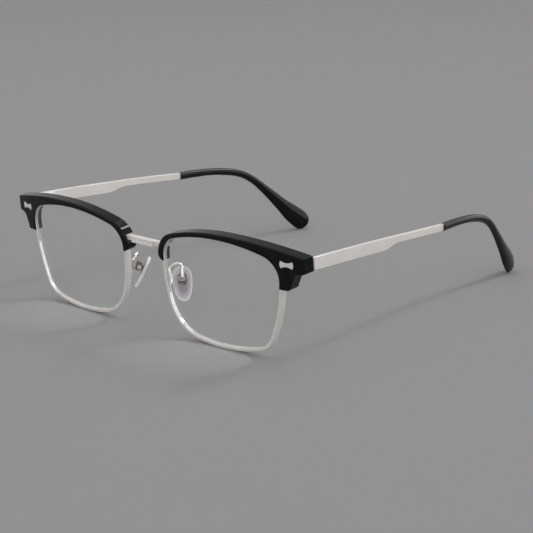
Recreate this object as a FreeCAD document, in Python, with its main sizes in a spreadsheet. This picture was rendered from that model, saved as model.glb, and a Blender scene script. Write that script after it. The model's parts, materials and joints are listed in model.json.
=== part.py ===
import FreeCAD, Part
import math
import os
import re
import Sketcher
from FreeCAD import Placement, Rotation, Vector

# Browline glasses, standing open on a table. X runs to the wearer's left, Y back along the temples and Z up.
# The left half is modelled and mirrored. Lengths are in millimetres and angles in degrees.
SIZES = {
    # Stance of the front
    "front_reach": (73.665, "from the origin forward to the foot of the front"),
    "face_tilt": (5.7, "forward lean of the front's top"),
    "face_radius": (220.0, "curve of the front in plan"),
    "face_wrap": (3.1, "turn of that curve at the middle of an eye"),
    "stand_lift": (0.02, "brings the lowest edge of the rims to the table"),
    "stock": (60.0, "length of raw prisms, longer than any piece is deep"),
    # Eye shape, at the outer edge of the eyewire
    "bridge_gap": (18.0, "between the two eyewires at the nose"),
    "eye_width": (52.6, "from nose side to temple side"),
    "eye_height": (39.9, "from bottom to top"),
    "eye_side_radius": (60.0, "curve of the temple side"),
    "eye_side_level": (8.9, "temple side's widest point below the eye's top"),
    "eye_top_radius": (70.0, "curve of the top"),
    "eye_nose_radius": (60.0, "curve of the nose side"),
    "eye_nose_level": (12.9, "nose side's widest point below the eye's top"),
    "eye_bottom_radius": (65.0, "curve of the bottom"),
    "corner_top_outer": (9.2, "rounding between temple side and top"),
    "corner_top_nose": (9.2, "rounding between top and nose side"),
    "corner_bottom_nose": (16.0, "rounding between nose side and bottom"),
    "corner_bottom_outer": (9.0, "rounding between bottom and temple side"),
    # Eyewire and lens
    "rim_width": (1.1, "eyewire seen from the front"),
    "rim_depth": (2.2, "eyewire from front to back"),
    "rim_setback": (0.6, "eyewire behind the brow's front face"),
    "groove_depth": (0.6, "lens groove in the eyewire"),
    "groove_width": (0.9, "lens groove from front to back"),
    "lens_thickness": (1.6, "lens inside the eyewire"),
    "lens_fit": (0.03, "clearance between lens and eyewire"),
    # Brow
    "brow_depth": (4.6, "brow from front to back"),
    "brow_rise": (1.1, "brow above the eyewire at its highest point"),
    "brow_edge": (0.3, "bevel along the brow's edges"),
    "brow_reveal": (0.35, "eyewire left showing inside the brow's lower edge"),
    "brow_apex_shift": (2.2, "highest point, outward of the middle of the eye"),
    "brow_nose_wall": (1.5, "brow beside the eyewire at the nose"),
    "brow_nose_fall": (3.4, "from the highest point down to the nose rounding"),
    "nose_round_run": (6.7, "nose rounding, sideways"),
    "nose_round_fall": (7.8, "nose rounding, down"),
    "nose_foot_run": (2.6, "rounded lower nose end, sideways"),
    "nose_foot_fall": (2.85, "rounded lower nose end, down"),
    "nose_foot_turn": (100.0, "turn of that rounded end"),
    "leg_drop": (15.7, "from the highest point down to the outer leg's foot"),
    "leg_reach": (2.0, "outer leg's foot, outward of the eyewire"),
    "leg_corner_run": (1.0, "rounded outer corner of that foot, sideways"),
    "leg_corner_rise": (0.9, "rounded outer corner of that foot, up"),
    "leg_corner_turn": (70.0, "turn of that corner"),
    "leg_flare": (1.6, "outer leg widens upward by this much"),
    "leg_side": (3.6, "straight outer side of the leg"),
    "armpit_run": (1.0, "inside corner under the end block, sideways"),
    "armpit_rise": (1.2, "inside corner under the end block, up"),
    "armpit_turn": (55.0, "turn of that inside corner"),
    "end_reach": (8.9, "end of the brow outward of the eyewire"),
    "end_height": (5.15, "end block of the brow"),
    "end_fall": (4.0, "from the highest point down to the end's top corner"),
    "end_lean": (6.0, "side of the end block opens toward the temple"),
    "channel_fit": (0.03, "clearance of the eyewire in the brow's channel"),
    # Lug on the eyewire and the screw that holds the brow to it
    "lug_reach": (2.2, "lug outward of the eyewire"),
    "lug_root": (5.0, "raw length of the lug inside the eyewire"),
    "lug_drop": (12.3, "lug below the brow's highest point"),
    "lug_height": (2.0, "lug from bottom to top"),
    "lug_inset": (0.2, "lug inside the eyewire's front and back faces"),
    "brow_screw_radius": (0.5, "shank of the brow screw"),
    "brow_screw_head": (0.85, "radius of its head"),
    "brow_screw_sink": (0.5, "thickness of its head"),
    # Rivet
    "rivet_reach": (2.3, "rivet outward of the eyewire"),
    "rivet_drop": (6.6, "rivet below the brow's highest point"),
    "rivet_length": (4.35, "bone shape of the head, between its corners"),
    "rivet_height": (2.55, "flared ends of the bone shape"),
    "rivet_waist": (1.3, "narrow middle of the bone shape"),
    "rivet_end_turn": (61.0, "turn of each rounded end"),
    "rivet_head": (0.6, "thickness of the head"),
    "rivet_proud": (0.12, "head in front of the brow"),
    "rivet_pitch": (3.2, "between the two shanks"),
    "rivet_shank": (0.6, "radius of a shank"),
    "rivet_fit": (0.03, "clearance round the rivet"),
    # Bridge
    "bridge_level": (7.7, "bridge below the eye's top"),
    "bridge_length": (10.4, "bar between its feet"),
    "bridge_height": (2.1, "bar from bottom to top"),
    "bridge_depth": (1.9, "bar from front to back"),
    "bridge_forward": (0.2, "bar's front behind the front's own curve at the middle of an eye"),
    "bridge_groove": (0.3, "depth of the two grooves along the bar"),
    "bridge_pitch": (0.7, "between those grooves"),
    "bridge_foot_height": (1.6, "feet from bottom to top"),
    "bridge_foot_back": (0.9, "feet behind the bar's front"),
    "bridge_foot_depth": (1.9, "feet from front to back"),
    "bridge_fit": (0.05, "clearance of a foot in the brow"),
    # Hinge
    "hinge_out": (5.05, "hinge pin outward of the rivet"),
    "hinge_back": (2.0, "hinge pin behind the brow"),
    "hinge_drop": (0.5, "hinge's middle below the rivet"),
    "hinge_radius": (1.25, "knuckles"),
    "hinge_height": (3.0, "all three knuckles together"),
    "middle_knuckle": (1.2, "height of the temple's knuckle"),
    "knuckle_gap": (0.05, "running gap between knuckles"),
    "hinge_pin": (0.6, "radius of the hinge screw"),
    "hinge_pin_fit": (0.04, "running clearance round the screw"),
    "hinge_head": (1.05, "radius of the screw's head"),
    "hinge_head_height": (0.35, "thickness of the screw's head"),
    "web_width": (1.7, "neck between knuckle and plate"),
    "plate_sink": (0.4, "hinge plate let into the brow"),
    "plate_thickness": (0.8, "hinge plate"),
    "plate_height": (4.2, "hinge plate from bottom to top"),
    "plate_inner": (3.2, "hinge plate, inward of the rivet"),
    "plate_outer": (7.1, "hinge plate, outward of the rivet"),
    "plate_fit": (0.03, "clearance round the hinge plate"),
    # Temple
    "temple_toe": (2.0, "temples close toward the rear"),
    "temple_offset": (2.75, "outer side of the temple, outward of the hinge pin"),
    "temple_thickness": (1.1, "temple plate"),
    "temple_gap": (0.25, "between the open temple and the end of the brow"),
    "temple_height": (4.3, "tall front part of the temple"),
    "temple_slim": (2.5, "slim rear part of the temple"),
    "temple_lift": (0.1, "middle of the temple's front above the hinge's middle"),
    "temple_slope": (1.55, "the temple falls toward the rear"),
    "temple_sag_radius": (1950.0, "downward curve of the temple"),
    "step_at": (37.3, "hinge pin to the step in the lower edge"),
    "step_run": (9.0, "length of that step"),
    "step_turn": (18.0, "turn of each half of the step"),
    "bow_start": (48.0, "hinge pin to where the temple starts to curve inward"),
    "bow_radius": (430.0, "inward curve of the temple"),
    "bow_turn": (20.0, "turn of that curve, past the end of the tip"),
    "core_height": (1.4, "core inside the tip"),
    "core_length": (26.0, "core inside the tip"),
    "core_fall": (2.2, "core comes down by this much inside the tip"),
    "leaf_start": (1.6, "hinge pin to the front of the hinge leaf"),
    "leaf_length": (9.0, "hinge leaf along the temple"),
    "leaf_height": (2.6, "hinge leaf from bottom to top"),
    "leaf_thickness": (0.7, "hinge leaf"),
    "neck_length": (3.8, "neck from the knuckle back onto the leaf"),
    # Temple tip
    "tip_start": (75.8, "hinge pin to the front of the tip"),
    "tip_height": (3.2, "tip at its front"),
    "tip_thickness": (2.7, "tip from inner to outer side"),
    "tip_edge": (0.55, "bevel along the tip's edges"),
    "back_fall": (0.35, "upper side of the tip falls by this much before its slight bend"),
    "back_run": (0.24, "rounding of that bend, as a share of the tip in front of the bend behind the ear"),
    "bend_at": (111.7, "hinge pin to the corner of the bend behind the ear, on its upper side"),
    "bend_sag": (4.6, "that corner below the hinge's middle"),
    "bend_run": (4.3, "rounding of the bend, before and after that corner"),
    "crook_ahead": (0.5, "corner on the bend's lower side, in front of the upper one"),
    "crook_drop": (2.2, "corner on the bend's lower side, below the upper one"),
    "crook_run": (5.1, "rounding of the bend's lower side"),
    "paddle_end": (144.6, "hinge pin to the rear end of the paddle"),
    "paddle_length": (10.2, "paddle's two corners on the table"),
    "paddle_rise": (4.6, "upper corner of the paddle's end above the table"),
    "paddle_fore_run": (6.9, "rounding of the paddle's front corner"),
    "paddle_end_run": (2.9, "rounding of the paddle's rear corner on the table"),
    "paddle_top_run": (1.5, "rounding of the upper corner of the paddle's end"),
    # Nose pads
    "pad_out": (10.4, "pad's middle from the middle of the bridge"),
    "pad_back": (9.0, "pad's middle behind the front"),
    "pad_level": (23.6, "pad's middle below the eye's top"),
    "pad_frontal": (29.0, "pads lean together at the top"),
    "pad_splay": (42.4, "pads open toward the face"),
    "pad_widest": (3.2, "pad's widest place above its middle, where the round top starts"),
    "pad_foot": (5.5, "round lower end starts below the pad's middle"),
    "pad_width": (6.6, "pad at its widest"),
    "pad_foot_width": (4.0, "pad where that end starts"),
    "pad_top_turn": (170.0, "turn of the round top"),
    "pad_foot_turn": (110.0, "turn of the round lower end"),
    "pad_side_turn": (30.0, "turn of the long sides"),
    "pad_thickness": (1.5, "pad"),
    "pad_edge": (0.45, "bevel of the pad's edges"),
    "insert_thickness": (0.5, "metal core in the pad"),
    "insert_width": (3.4, "metal core in the pad"),
    "insert_length": (5.4, "metal core in the pad"),
    "insert_turn": (150.0, "turn of the core's round ends"),
    "tab_width": (1.2, "tab that the core holds into the box"),
    "tab_radius": (0.8, "rounded end of the tab"),
    "pivot_back": (2.0, "pad screw behind the pad's middle"),
    "pivot_rise": (1.5, "pad screw above the pad's middle, along the pad"),
    "box_wall": (0.4, "walls of the pad box"),
    "box_gap": (0.06, "clearance of the tab in the box"),
    "box_height": (2.6, "pad box from bottom to top"),
    "box_front": (0.55, "box in front of the screw"),
    "box_back": (1.25, "box behind the screw"),
    "pad_screw_radius": (0.4, "pad screw"),
    "pad_screw_head": (0.75, "radius of its head"),
    "pad_screw_head_height": (0.4, "thickness of its head"),
    "pad_screw_fit": (0.05, "running clearance round the pad screw"),
    # Pad arm
    "arm_radius": (0.55, "wire of the pad arm"),
    "arm_out": (0.49047, "arm's foot inside the eyewire's outer edge"),
    "arm_level": (22.1, "arm's foot below the eye's top"),
    "arm_foot": (1.1, "arm's foot behind the eyewire, to the corner of its bend"),
    "arm_bend": (0.9, "rounding of that corner"),
    "arm_seat": (0.35, "wire's middle behind the box's back"),
    "arm_lean": (17.0, "arm's loop leans toward the nose"),
    "loop_front": (2.6, "front corner of the loop, from the foot toward the box"),
    "loop_front_height": (5.85, "front corner of the loop above the line from foot to box"),
    "loop_rear": (7.4, "rear corner of the loop, from the foot toward the box"),
    "loop_rear_height": (4.7, "rear corner of the loop above that line"),
    "loop_run": (2.0, "rounding of those corners"),
}

doc = FreeCAD.newDocument("browline_glasses")
sheet = doc.addObject("Spreadsheet::Sheet", "Dims")
for row, (alias, (size, note)) in enumerate(SIZES.items(), start=1):
    sheet.set(f"A{row}", note)
    sheet.set(f"B{row}", str(size))
    sheet.setAlias(f"B{row}", alias)
doc.recompute()

# Views that sketches are drawn in: from the front (X, Z), from the side (Y, Z) and from above (X, Y)
FRONT_VIEW = Placement(Vector(), Rotation(Vector(1, 0, 0), 90))
SIDE_VIEW = Placement(Vector(), Rotation(Vector(1, 1, 1), 120))
PLAN_VIEW = Placement()

# Closer than this counts as touching
TOUCHING = 0.001


def spelled(text):
    """The expression with every size's name pointing at its cell."""
    return re.sub(r"[a-z_]+", lambda word: f"Dims.{word[0]}" if word[0] in SIZES else word[0], text)


def value(text):
    """What an expression of sizes comes to."""
    found = sheet.evalExpression(spelled(text))
    return float(getattr(found, "Value", found))


def add(kind, name, placement=None, **sizes):
    """A document object whose properties follow expressions of the sizes."""
    thing = doc.addObject(kind, name)
    if placement:
        thing.Placement = placement
    for key, text in sizes.items():
        thing.setExpression(key, spelled(text))
    return thing


def drawing(name, placement, body=None, role=None):
    """An empty sketch, free in one of the views or on an origin plane of a body."""
    if body is None:
        return add("Sketcher::SketchObject", name, placement)
    sketch = body.newObject("Sketcher::SketchObject", name)
    plane = next(item for item in body.Origin.OriginFeatures if item.Role == role)
    sketch.AttachmentSupport = [(plane, "")]
    sketch.MapMode = "FlatFace"
    return sketch


def hold(sketch, rules):
    """Adds constraints, each with the expression that it follows, if it follows one."""
    first = sketch.ConstraintCount
    sketch.addConstraint([rule for rule, text in rules])
    for index, (rule, text) in enumerate(rules, start=first):
        if text:
            sketch.setExpression(f"Constraints[{index}]", spelled(text))


def place_rules(geometry, spot, across, up):
    """Constraints that hold a point of a sketch at two expressions."""
    rules = []
    for kind, axis, text in (("DistanceX", -2, across), ("DistanceY", -1, up)):
        if text == "0":
            rules.append((Sketcher.Constraint("PointOnObject", geometry, spot, axis), None))
        else:
            rules.append((Sketcher.Constraint(kind, geometry, spot, value(text)), text))
    return rules


def outline(sketch, corners, closed=True):
    """Draws a closed outline, or an open line, with every corner held by expressions.

    A corner is (across, up), or (across, up, turn) where the edge to the next corner is an arc that turns
    through that angle, to the left where it is positive.
    """
    spots = [Vector(value(corner[0]), value(corner[1]), 0) for corner in corners]
    edges = []
    rules = []
    for index in range(len(corners) if closed else len(corners) - 1):
        corner, start = corners[index], spots[index]
        after, end = corners[index + 1 - len(corners)], spots[index + 1 - len(corners)]
        if len(corner) == 2:
            edges.append((sketch.addGeometry(Part.LineSegment(start, end)), 1, 2))
            continue
        turn = math.radians(value(corner[2]))
        chord = end - start
        radius = chord.Length / (2 * math.sin(abs(turn) / 2))
        left = Vector(-chord.y, chord.x, 0).normalize() * math.copysign(1, turn)
        centre = (start + end) / 2 + left * radius * math.cos(turn / 2)
        first, last = (start, end) if turn > 0 else (end, start)
        angles = [math.atan2(spot.y - centre.y, spot.x - centre.x) for spot in (first, last)]
        arc = Part.ArcOfCircle(Part.Circle(centre, Vector(0, 0, 1), radius), *angles)
        edge = sketch.addGeometry(arc)
        edges.append((edge, 1, 2) if turn > 0 else (edge, 2, 1))
        run, rise = (f"({after[axis]}) - ({corner[axis]})" for axis in (0, 1))
        text = f"sqrt(({run})^2 + ({rise})^2) / (2*sin(abs({corner[2]})/2))"
        rules.append((Sketcher.Constraint("Radius", edge, radius), text))
    for index, (corner, edge) in enumerate(zip(corners, edges)):
        if closed or index > 0:
            before = edges[index - 1]
            rules.append((Sketcher.Constraint("Coincident", before[0], before[2], edge[0], edge[1]), None))
        rules += place_rules(edge[0], edge[1], corner[0], corner[1])
    if not closed:
        rules += place_rules(edges[-1][0], edges[-1][2], corners[-1][0], corners[-1][1])
    hold(sketch, rules)
    return sketch


def rounded(corners):
    """Corners for an outline, where each that also has a run is rounded that far before and after it."""
    made = []
    for index, corner in enumerate(corners):
        if len(corner) == 2:
            made.append(corner)
            continue
        across, up, run = corner
        before, after = corners[index - 1], corners[index + 1 - len(corners)]
        in_x, in_y = f"({across} - ({before[0]}))", f"({up} - ({before[1]}))"
        out_x, out_y = f"({after[0]} - ({across}))", f"({after[1]} - ({up}))"
        turn = f"atan2({in_x}*{out_y} - {in_y}*{out_x}; {in_x}*{out_x} + {in_y}*{out_y})"
        share_in, share_out = f"({run})/hypot({in_x}; {in_y})", f"({run})/hypot({out_x}; {out_y})"
        made.append((f"{across} - {in_x}*{share_in}", f"{up} - {in_y}*{share_in}", turn))
        made.append((f"{across} + {out_x}*{share_out}", f"{up} + {out_y}*{share_out}"))
    return made


def circle(sketch, across, up, radius):
    """Draws a circle held by expressions."""
    centre = Vector(value(across), value(up), 0)
    ring = sketch.addGeometry(Part.Circle(centre, Vector(0, 0, 1), value(radius)))
    rules = place_rules(ring, 3, across, up)
    hold(sketch, rules + [(Sketcher.Constraint("Radius", ring, value(radius)), radius)])
    return sketch


def prism(name, sketch, ahead="stock", behind="stock"):
    """A sketch drawn out along its normal, both ways."""
    solid = add("Part::Extrusion", name, LengthFwd=ahead, LengthRev=behind)
    solid.Base = sketch
    solid.DirMode = "Normal"
    solid.Solid = True
    return solid


def combine(kind, name, base, tool, placement=None):
    """Part::Cut or Part::Common of two solids."""
    solid = add(kind, name, placement)
    solid.Base = base
    solid.Tool = tool
    solid.Refine = True
    return solid


def fuse(name, solids, placement=None):
    """One solid out of several."""
    solid = add("Part::MultiFuse", name, placement)
    solid.Shapes = solids
    solid.Refine = True
    return solid


def block(name, placement, low, high):
    """A box between two corners, each three expressions, in the axes of a placement."""
    sizes = [f"({top}) - ({bottom})" for bottom, top in zip(low, high)]
    corner = Placement(Vector(*(value(text) for text in low)), Rotation())
    return add("Part::Box", name, placement * corner, Length=sizes[0], Width=sizes[1], Height=sizes[2])


def rod(name, placement, radius, start, end):
    """A cylinder along the Z axis of a placement, from one height to another."""
    corner = Placement(Vector(0, 0, value(start)), Rotation())
    return add("Part::Cylinder", name, placement * corner, Radius=radius, Height=f"({end}) - ({start})")


def section_body(name, placement, role, corners):
    """A body with a closed outline on one of its planes."""
    body = add("PartDesign::Body", name, placement)
    return body, outline(drawing(f"{name}_outline", None, body, role), corners)


def pad(body, sketch, length, side="One side", backward=False):
    """Draws a body's sketch out into a solid."""
    feature = body.newObject("PartDesign::Pad", f"{sketch.Name}_pad")
    feature.Profile = sketch
    feature.SideType = side
    feature.Reversed = backward
    feature.setExpression("Length", spelled(length))
    return feature


def revolved(name, placement, corners):
    """A body turned about the Z axis from a half outline in its XZ plane."""
    body, sketch = section_body(name, placement, "XZ_Plane", corners)
    feature = body.newObject("PartDesign::Revolution", f"{name}_turned")
    feature.Profile = sketch
    feature.ReferenceAxis = (sketch, ["V_Axis"])
    feature.Angle = 360
    return body


def bevelled(name, base, width, chosen):
    """A solid with some of its edges bevelled."""
    doc.recompute()
    feature = add("Part::Chamfer", name)
    feature.Base = base
    size = value(width)
    picked = [index for index, edge in enumerate(base.Shape.Edges, start=1) if chosen(edge)]
    feature.Edges = [(index, size, size) for index in picked]
    return feature


# The curve of the front: a cylinder that stands behind the face, for the left half
EYE_MIDDLE = "(bridge_gap/2 + eye_width/2)"
EYE_OUTER = "(bridge_gap/2 + eye_width)"
AXIS_X = f"({EYE_MIDDLE} - face_radius*sin(face_wrap))"
AXIS_Y = "(face_radius*cos(face_wrap))"
BROW_TOP = "(eye_height + brow_rise)"

front_foot = Vector(0, -value("front_reach"), value("stand_lift"))
front = Placement(front_foot, Rotation(Vector(1, 0, 0), value("face_tilt")))


def depth_at(across, behind="0"):
    """Y of the surface that lies so far behind the brows' front face."""
    return f"({AXIS_Y} - sqrt((face_radius - ({behind}))^2 - (({across}) - {AXIS_X})^2))"


def face_spot(across, up):
    """Axes on the brows' front face: X along the face, Y into it and Z up."""
    turn = math.degrees(math.asin(value(f"(({across}) - {AXIS_X})/face_radius")))
    spot = Vector(value(across), value(depth_at(across)), value(up))
    return Placement(spot, Rotation(Vector(0, 0, 1), turn))


def face_layer(name, near, far):
    """The layer of the curved front between two depths behind the brows' front face."""
    shells = []
    for suffix, depth in (("outside", near), ("inside", far)):
        place = {"Placement.Base.x": AXIS_X, "Placement.Base.y": AXIS_Y, "Placement.Base.z": "-stock"}
        shells.append(add("Part::Cylinder", f"{name}_{suffix}", Radius=f"face_radius - ({depth})",
                          Height="2*stock", **place))
    return combine("Part::Cut", name, *shells)


def meeting_centre(first, second, corner, middle):
    """Centre of a rounding inside two circles, the one of the two such places that is in the eye."""
    reach_a, reach_b = first[1] - corner, second[1] - corner
    gap = second[0] - first[0]
    along = (reach_a ** 2 - reach_b ** 2 + gap.Length ** 2) / (2 * gap.Length)
    aside = math.sqrt(reach_a ** 2 - along ** 2)
    forward = gap / gap.Length
    options = [first[0] + forward * along + Vector(-forward.y, forward.x, 0) * aside * way for way in (1, -1)]
    return min(options, key=lambda spot: (spot - middle).Length)


def eye_prism(name, inset):
    """The eye shape, drawn in from the eyewire's outer edge: four wide arcs with roundings between them."""
    sides = (
        (f"({EYE_OUTER} - eye_side_radius)", "(eye_height - eye_side_level)", "eye_side_radius",
         "corner_top_outer"),
        (EYE_MIDDLE, "(eye_height - eye_top_radius)", "eye_top_radius", "corner_top_nose"),
        ("(bridge_gap/2 + eye_nose_radius)", "(eye_height - eye_nose_level)", "eye_nose_radius",
         "corner_bottom_nose"),
        (EYE_MIDDLE, "eye_bottom_radius", "eye_bottom_radius", "corner_bottom_outer"),
    )
    rings = [(Vector(value(side[0]), value(side[1]), 0), value(side[2])) for side in sides]
    middle = Vector(value(EYE_MIDDLE), value("eye_height/2"), 0)
    corners = []
    for ring, after, side in zip(rings, rings[1:] + rings[:1], sides):
        size = value(side[3])
        corners.append((meeting_centre(ring, after, size, middle), size))
    sketch = drawing(f"{name}_outline", FRONT_VIEW)
    rules = []
    arcs = []
    for index, (ring, corner) in enumerate(zip(rings, corners)):
        after = rings[(index + 1) % 4]
        starts = corners[index - 1][0] - ring[0]
        meets = corner[0] - ring[0]
        leaves = corner[0] - after[0]
        for centre, radius, begin, end, text in (
            (ring[0], ring[1], starts, meets, sides[index][2]),
            (corner[0], corner[1], meets, leaves, sides[index][3]),
        ):
            angles = (math.atan2(begin.y, begin.x), math.atan2(end.y, end.x))
            size = radius - value(inset)
            arc = sketch.addGeometry(Part.ArcOfCircle(Part.Circle(centre, Vector(0, 0, 1), size), *angles))
            rules.append((Sketcher.Constraint("Radius", arc, size), f"{text} - ({inset})"))
            arcs.append(arc)
        rules += place_rules(arcs[-2], 3, sides[index][0], sides[index][1])
    for arc, after in zip(arcs, arcs[1:] + arcs[:1]):
        rules.append((Sketcher.Constraint("Tangent", arc, 2, after, 1), None))
    hold(sketch, rules)
    return prism(name, sketch)


# Eyewire: a grooved ring with a lug for the brow's screw
RIM_BACK = "(rim_setback + rim_depth)"
RIM_MIDDLE = "(rim_setback + rim_depth/2)"

eye_whole = eye_prism("eye_whole", "0")
eye_open = eye_prism("eye_open", "rim_width")
eye_groove = eye_prism("eye_groove", "rim_width - groove_depth")

lug_spot = face_spot(f"{EYE_OUTER} + lug_reach/2", f"{BROW_TOP} - lug_drop")
LUG_FRONT = "(rim_setback + lug_inset)"
LUG_BACK = f"({RIM_BACK} - lug_inset)"


def lug_block(name, fit):
    """The lug's block, from inside the eyewire outward, grown by a clearance."""
    low = ("-lug_root", f"{LUG_FRONT} - ({fit})", f"-lug_height/2 - ({fit})")
    high = (f"lug_reach/2 + ({fit})", f"{LUG_BACK} + ({fit})", f"lug_height/2 + ({fit})")
    return block(name, lug_spot, low, high)


# Screw axes point out of the brow's back
screw_spot = lug_spot * Placement(Vector(0, value("brow_depth"), 0), Rotation(Vector(1, 0, 0), -90))
SCREW_LENGTH = f"(brow_depth - {LUG_FRONT})"


def screw_form(name, fit):
    """The brow screw, grown by a clearance: its head lies flush in the brow's back."""
    return revolved(name, screw_spot, (
        ("0", f"-{SCREW_LENGTH}"),
        (f"brow_screw_radius + {fit}", f"-{SCREW_LENGTH}"),
        (f"brow_screw_radius + {fit}", f"-brow_screw_sink - {fit}"),
        (f"brow_screw_head + {fit}", f"-brow_screw_sink - {fit}"),
        (f"brow_screw_head + {fit}", f"{fit}"),
        ("0", f"{fit}"),
    ))


ring = combine("Part::Cut", "ring", eye_whole, eye_open)
rim_layer = face_layer("rim_layer", "rim_setback", RIM_BACK)
rim = combine("Part::Common", "rim", ring, rim_layer)
lug = combine("Part::Cut", "lug", lug_block("lug_raw", "0"), eye_whole)
half_groove = "groove_width/2"
groove_layer = face_layer("groove_layer", f"{RIM_MIDDLE} - {half_groove}", f"{RIM_MIDDLE} + {half_groove}")
groove = combine("Part::Common", "groove", eye_groove, groove_layer)
screw_bore = screw_form("screw_bore", "channel_fit")
rim_cuts = fuse("rim_cuts", [groove, screw_bore])
eyewire = combine("Part::Cut", "eyewire_left", fuse("rim_with_lug", [rim, lug]), rim_cuts, front)

brow_screw = screw_form("brow_screw_left", "0")
brow_screw.Placement = front * screw_spot

# Lens: its body fills the eyewire's opening and its tongue lies in the groove
TONGUE = "(groove_width/2 - lens_fit)"
lens_layer = face_layer("lens_layer", f"{RIM_MIDDLE} - lens_thickness/2", f"{RIM_MIDDLE} + lens_thickness/2")
tongue_layer = face_layer("tongue_layer", f"{RIM_MIDDLE} - {TONGUE}", f"{RIM_MIDDLE} + {TONGUE}")
lens_plate = combine("Part::Common", "lens_plate", eye_prism("lens_edge", "rim_width + lens_fit"), lens_layer)
tongue_edge = eye_prism("tongue_edge", "rim_width - groove_depth + lens_fit")
lens_tongue = combine("Part::Common", "lens_tongue", tongue_edge, tongue_layer)
lens = fuse("lens_left", [lens_plate, lens_tongue], front)

# Brow: its front outline, curved with the face, with a channel for the eyewire
NOSE_X = "(bridge_gap/2 - brow_nose_wall)"
END_X = f"({EYE_OUTER} + end_reach)"
APEX_X = f"({EYE_MIDDLE} + brow_apex_shift)"
END_TOP = f"({BROW_TOP} - end_fall)"
SHOULDER_X = f"({NOSE_X} + nose_round_run)"
SHOULDER_Z = f"({BROW_TOP} - brow_nose_fall)"
NOSE_Z = f"({SHOULDER_Z} - nose_round_fall)"
LEG_X = f"({EYE_OUTER} + leg_reach)"
LEG_Z = f"({BROW_TOP} - leg_drop)"
ARMPIT_X = f"({LEG_X} + leg_corner_run + leg_flare + armpit_run)"
OUTER_TURN = f"2*atan(end_fall/({END_X} - {APEX_X}))"
INNER_TURN = f"2*atan(brow_nose_fall/({APEX_X} - {SHOULDER_X}))"
NOSE_TURN = f"2*(atan(nose_round_fall/nose_round_run) - {INNER_TURN})"

brow_outline = outline(drawing("brow_outline", FRONT_VIEW), [
    (f"{NOSE_X} + nose_foot_run", f"{NOSE_Z} - nose_foot_fall"),
    (LEG_X, LEG_Z, "leg_corner_turn"),
    (f"{LEG_X} + leg_corner_run", f"{LEG_Z} + leg_corner_rise"),
    (f"{LEG_X} + leg_corner_run + leg_flare", f"{LEG_Z} + leg_corner_rise + leg_side", "-armpit_turn"),
    (ARMPIT_X, f"{LEG_Z} + leg_corner_rise + leg_side + armpit_rise"),
    (END_X, f"{END_TOP} - end_height"),
    (END_X, END_TOP, OUTER_TURN),
    (APEX_X, BROW_TOP, INNER_TURN),
    (SHOULDER_X, SHOULDER_Z, NOSE_TURN),
    (NOSE_X, NOSE_Z, "nose_foot_turn"),
])
brow_layer = face_layer("brow_layer", "0", "brow_depth")
brow_blank = combine("Part::Common", "brow_blank", prism("brow_prism", brow_outline), brow_layer)
brow_open = eye_prism("brow_open", "rim_width - brow_reveal")
channel_layer = face_layer("channel_layer", "rim_setback - channel_fit", f"{RIM_BACK} + channel_fit")
channel = combine("Part::Common", "channel", eye_prism("channel_edge", "-channel_fit"), channel_layer)

end_back = Vector(value(END_X), value(depth_at(END_X, "brow_depth")), 0)
end_place = Placement(end_back, Rotation(Vector(0, 0, 1), -value("end_lean")))
end_slope = block("end_slope", end_place, ("0", "-stock", "-stock"), ("stock",) * 3)
brow_form = combine("Part::Cut", "brow_form", brow_blank, end_slope)


def is_show_edge(edge):
    """Whether an edge goes round the brow's front or rear face, from the nose over the top to the end."""
    if max(corner.Z for corner in edge.Vertexes) < value(f"{NOSE_Z} - {TOUCHING}"):
        return False
    middle = edge.valueAt((edge.FirstParameter + edge.LastParameter) / 2)
    spots = [corner.Point for corner in edge.Vertexes] + [middle]
    axis = Vector(value(AXIS_X), value(AXIS_Y), 0)
    depths = [value("face_radius") - math.hypot(spot.x - axis.x, spot.y - axis.y) for spot in spots]
    return any(max(abs(depth - value(face)) for depth in depths) < TOUCHING for face in ("0", "brow_depth"))


brow_bevelled = bevelled("brow_bevelled", brow_form, "brow_edge", is_show_edge)

# Bridge: a grooved bar with a foot at each end that is soldered to the eyewire
BRIDGE_Z = "(eye_height - bridge_level)"
BAR_LOW = f"({BRIDGE_Z} - bridge_height/2)"
BAR_HIGH = f"({BRIDGE_Z} + bridge_height/2)"
BAR_BACK = "(bridge_forward + bridge_depth)"
FOOT_FRONT = "(bridge_forward + bridge_foot_back)"
FOOT_REACH = "(bridge_gap/2 + rim_width)"
bar_face = [("bridge_forward", BAR_HIGH)]
for way in ("+", "-"):
    groove_middle = f"({BRIDGE_Z} {way} bridge_pitch/2)"
    bar_face += [
        ("bridge_forward", f"{groove_middle} + bridge_groove"),
        ("bridge_forward + bridge_groove", groove_middle),
        ("bridge_forward", f"{groove_middle} - bridge_groove"),
    ]
bar_face += [("bridge_forward", BAR_LOW), (BAR_BACK, BAR_LOW), (BAR_BACK, BAR_HIGH)]
bridge_body, bar_sketch = section_body("bridge_body", None, "YZ_Plane", bar_face)
pad(bridge_body, bar_sketch, "bridge_length", "Symmetric")


def foot_block(name, reach, back, fit):
    """A foot's block on the left, grown by a clearance."""
    low = ("0", f"{FOOT_FRONT} - {fit}", f"{BRIDGE_Z} - bridge_foot_height/2 - {fit}")
    return block(name, Placement(), low, (reach, back, f"{BRIDGE_Z} + bridge_foot_height/2 + {fit}"))


def mirrored(name, source):
    """The same piece on the other side of the nose."""
    copy = add("Part::Mirroring", name)
    copy.Source = source
    copy.Normal = Vector(1, 0, 0)
    return copy


foot = combine("Part::Cut", "foot", foot_block("foot_raw", FOOT_REACH, f"{FOOT_FRONT} + bridge_foot_depth",
                                               "0"), eye_whole)
bridge = fuse("bridge", [bridge_body, foot, mirrored("foot_right", foot)], front)
foot_slot = foot_block("foot_slot", f"{FOOT_REACH} + rim_width", "stock", "bridge_fit")

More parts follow.
